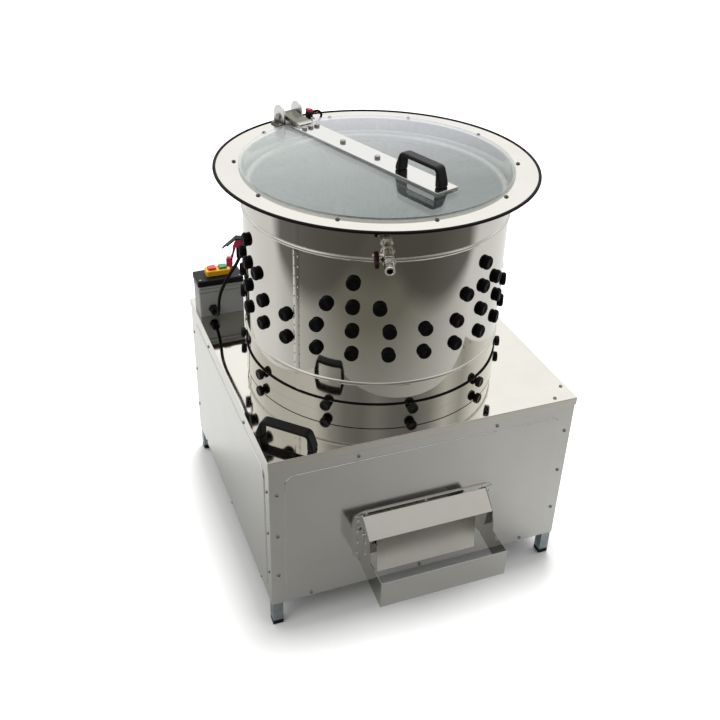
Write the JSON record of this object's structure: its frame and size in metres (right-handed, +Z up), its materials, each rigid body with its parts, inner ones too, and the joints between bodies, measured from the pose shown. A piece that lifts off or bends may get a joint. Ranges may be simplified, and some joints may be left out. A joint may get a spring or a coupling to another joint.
{
  "type": "poultry plucker",
  "caption": "Drum poultry plucker: stainless cabinet on legs, drum lined with rubber fingers, turning feather plate, hinged clear lid, water valve, push buttons and feather chute.",
  "frame": {"origin": "on the floor under the drum axis, at the middle of the four foot holes", "axes": "+X to the right, +Y to the back, +Z up, with the feather chute at the front"},
  "size_m": [0.741, 0.8585, 1.0125],
  "materials": {
    "satin_steel": "satin stainless sheet",
    "polished_steel": "mirror polished stainless sheet",
    "fastener_steel": "bright turned steel",
    "black_rubber": "moulded black rubber",
    "black_plastic": "fine grained black plastic",
    "clear_lid": "clear polycarbonate, slightly hazy",
    "dark_red_plastic": "dipped dark red plastic",
    "red_plastic": "moulded red plastic",
    "green_plastic": "moulded green plastic",
    "yellow_plastic": "moulded yellow plastic",
    "grey_plastic": "moulded light grey plastic",
    "cast_iron": "turned cast iron",
    "motor_paint": "blue grey enamel"
  },
  "bodies": {
    "base": {"base_frame": "satin_steel", "foot_pads": "black_rubber", "top_plate": "polished_steel", "front_panel": "satin_steel", "back_panel": "satin_steel", "left_panel": "satin_steel", "right_panel": "satin_steel", "cabinet_screws": "fastener_steel", "base_collar": "polished_steel", "seam_gasket": "black_rubber", "clamp_knobs": "black_plastic", "drum_shell": "polished_steel", "drum_rivets": "satin_steel", "drum_fingers": "black_rubber", "flange_ring": "polished_steel", "flange_trim": "black_rubber", "flange_screws": "fastener_steel", "spray_ring": "polished_steel", "valve_body": "fastener_steel", "hose_nipple": "fastener_steel", "hinge_bracket": "polished_steel", "hinge_pin": "fastener_steel", "small_screws": "fastener_steel", "lid_switch": "black_plastic", "lid_switch_cap": "red_plastic", "upper_lead": "black_rubber", "lower_lead": "black_rubber", "lead_clips": "black_plastic", "coupler_socket": "red_plastic", "coupler_plug": "black_plastic", "box_body": "grey_plastic", "box_cover": "black_plastic", "switch_housing": "yellow_plastic", "cable_gland": "black_plastic", "carry_handles": "black_plastic", "chute_mount": "polished_steel", "chute_body": "satin_steel", "chute_hood": "polished_steel", "flap_rod": "fastener_steel", "chute_screws": "fastener_steel", "feather_pan": "polished_steel", "bearings": "fastener_steel", "bearing_column": "satin_steel", "drive_beams": "satin_steel", "drive_belt": "black_rubber", "motor_body": "motor_paint"},
    "lid": {"lid_disc": "clear_lid", "lid_strap": "satin_steel", "lid_bolts": "fastener_steel", "lid_handle": "black_plastic"},
    "plate": {"feather_plate": "polished_steel", "plate_fingers": "black_rubber", "drive_shaft": "fastener_steel", "drive_pulley": "cast_iron"},
    "rotor": {"motor_pulley": "cast_iron"},
    "start_key": {"start_button": "green_plastic"},
    "stop_key": {"stop_button": "red_plastic"},
    "lever": {"valve_lever": "dark_red_plastic"},
    "flap": {"chute_flap": "polished_steel"},
    "plunger": {"switch_plunger": "fastener_steel"}
  },
  "joints": [
    {"name": "lid_hinge", "type": "hinge", "parent": "base", "child": "lid", "pos_m": [-0.10711, 0.31108, 0.978], "axis": [-0.9455, -0.3256, 0], "range_deg": [0, 100]},
    {"name": "plate_spin", "type": "hinge", "parent": "base", "child": "plate", "pos_m": [0, 0, 0.5], "axis": [0, 0, 1], "continuous": true},
    {"name": "motor_spin", "type": "hinge", "parent": "base", "child": "rotor", "pos_m": [0, 0.215, 0.12], "axis": [0, 0, 1], "continuous": true},
    {"name": "start_press", "type": "slide", "parent": "base", "child": "start_key", "axis": [0, 0, -1], "range_m": [0, 0.004], "stiffness_N_per_m": 250},
    {"name": "stop_press", "type": "slide", "parent": "base", "child": "stop_key", "axis": [0, 0, -1], "range_m": [0, 0.004], "stiffness_N_per_m": 250},
    {"name": "valve_turn", "type": "hinge", "parent": "base", "child": "lever", "pos_m": [-0.10731, -0.33027, 0.90567], "axis": [0.9511, -0.309, 0], "range_deg": [0, 90]},
    {"name": "flap_swing", "type": "hinge", "parent": "base", "child": "flap", "pos_m": [0, -0.382, 0.236], "axis": [-1, 0, 0], "range_deg": [0, 45]},
    {"name": "plunger_press", "type": "slide", "parent": "base", "child": "plunger", "axis": [-0.3256, 0.9455, 0], "range_m": [0, 0.003], "stiffness_N_per_m": 200}
  ],
  "couplings": [
    {"joint": "motor_spin", "follows": "plate_spin", "ratio": 3.5758}
  ]
}
